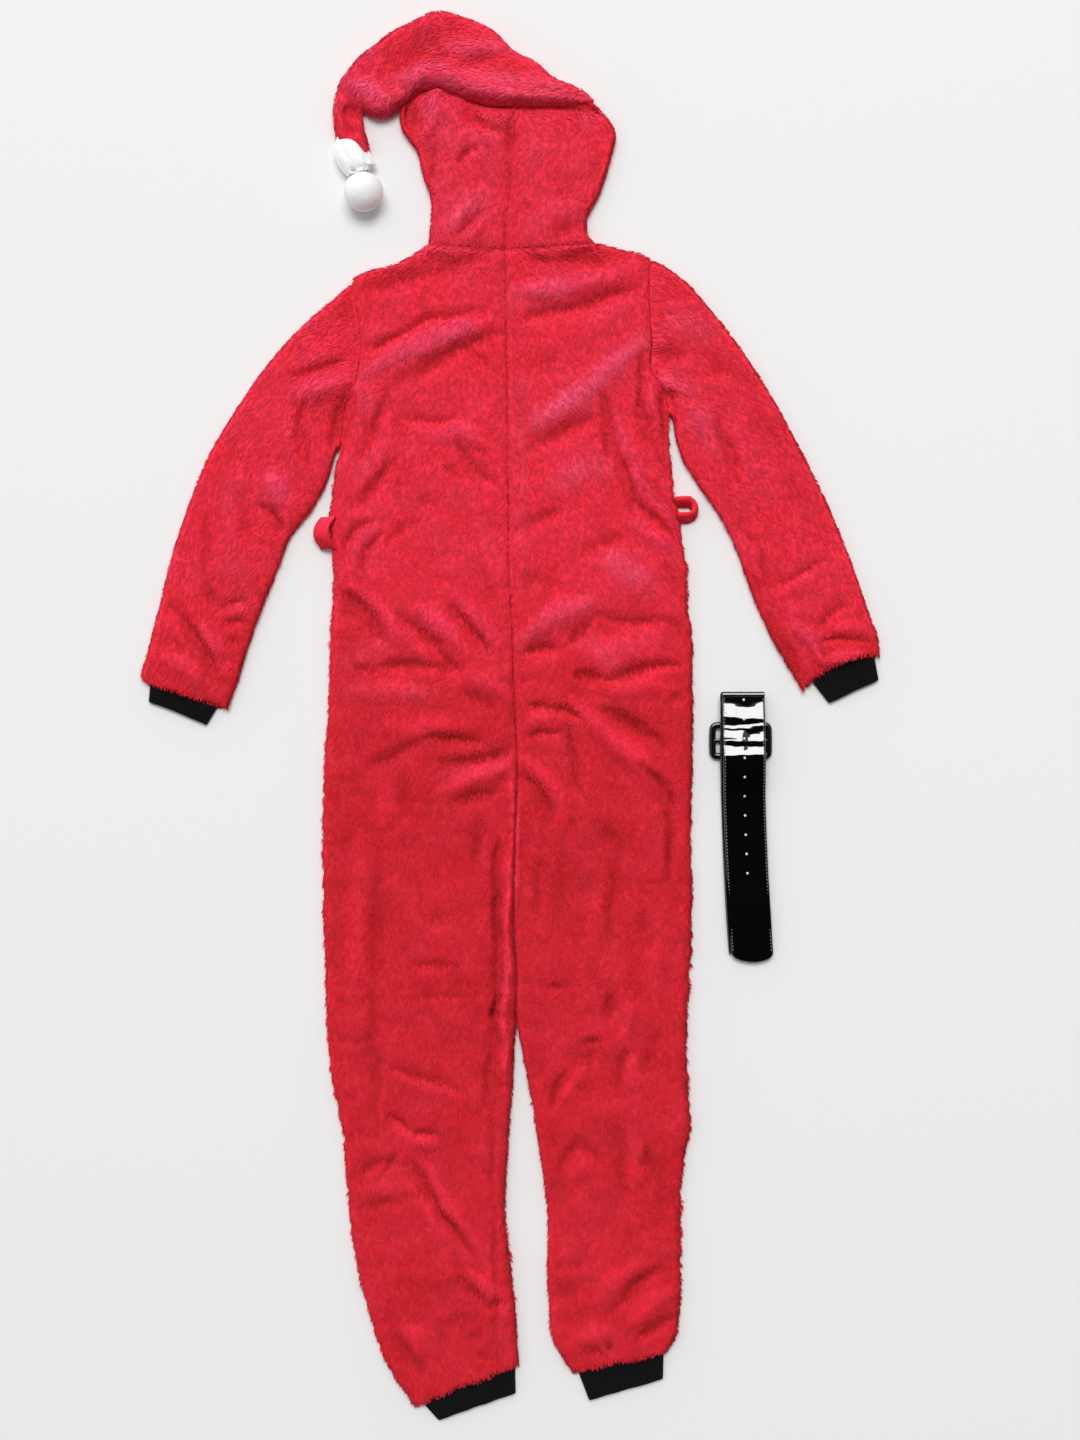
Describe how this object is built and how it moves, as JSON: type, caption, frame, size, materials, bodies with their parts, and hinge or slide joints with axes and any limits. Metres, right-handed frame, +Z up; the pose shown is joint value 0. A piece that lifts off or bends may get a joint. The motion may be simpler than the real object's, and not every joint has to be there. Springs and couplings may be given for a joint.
{
  "type": "hooded plush onesie pajamas with belt",
  "caption": "Red plush hooded onesie pajamas laid face down, with black rib cuffs, a white pompom on the hood's long point, and a folded black patent belt beside it.",
  "frame": {"origin": "on the surface the garment lies on, under the middle of the whole", "axes": "+X to the wearer's right, +Y from the feet to the hood, +Z up from the surface, out of the garment's back"},
  "size_m": [0.884, 1.689, 0.0465],
  "materials": {
    "red_plush": "brushed short-pile plush",
    "white_plush": "short-pile plush",
    "black_rib": "rib knit",
    "red_zip": "moulded coil on woven tape",
    "black_patent": "patent vinyl",
    "black_buckle": "glossy moulded"
  },
  "bodies": {
    "root": {"back_left": "red_plush", "back_right": "red_plush", "front_left": "red_plush", "front_right": "red_plush", "sleeve_left": "red_plush", "sleeve_right": "red_plush", "hood_left": "red_plush", "hood_right": "red_plush", "hood_point": "red_plush", "belt_loop_left": "red_plush", "belt_loop_right": "red_plush", "pompom_collar": "white_plush", "pompom": "white_plush", "cuff_wrist_left": "black_rib", "cuff_wrist_right": "black_rib", "cuff_ankle_left": "black_rib", "cuff_ankle_right": "black_rib", "zip_front": "red_zip", "zip_slider": "red_zip", "belt_strap": "black_patent", "buckle_frame": "black_buckle", "buckle_prong": "black_buckle"}
  },
  "joints": []
}
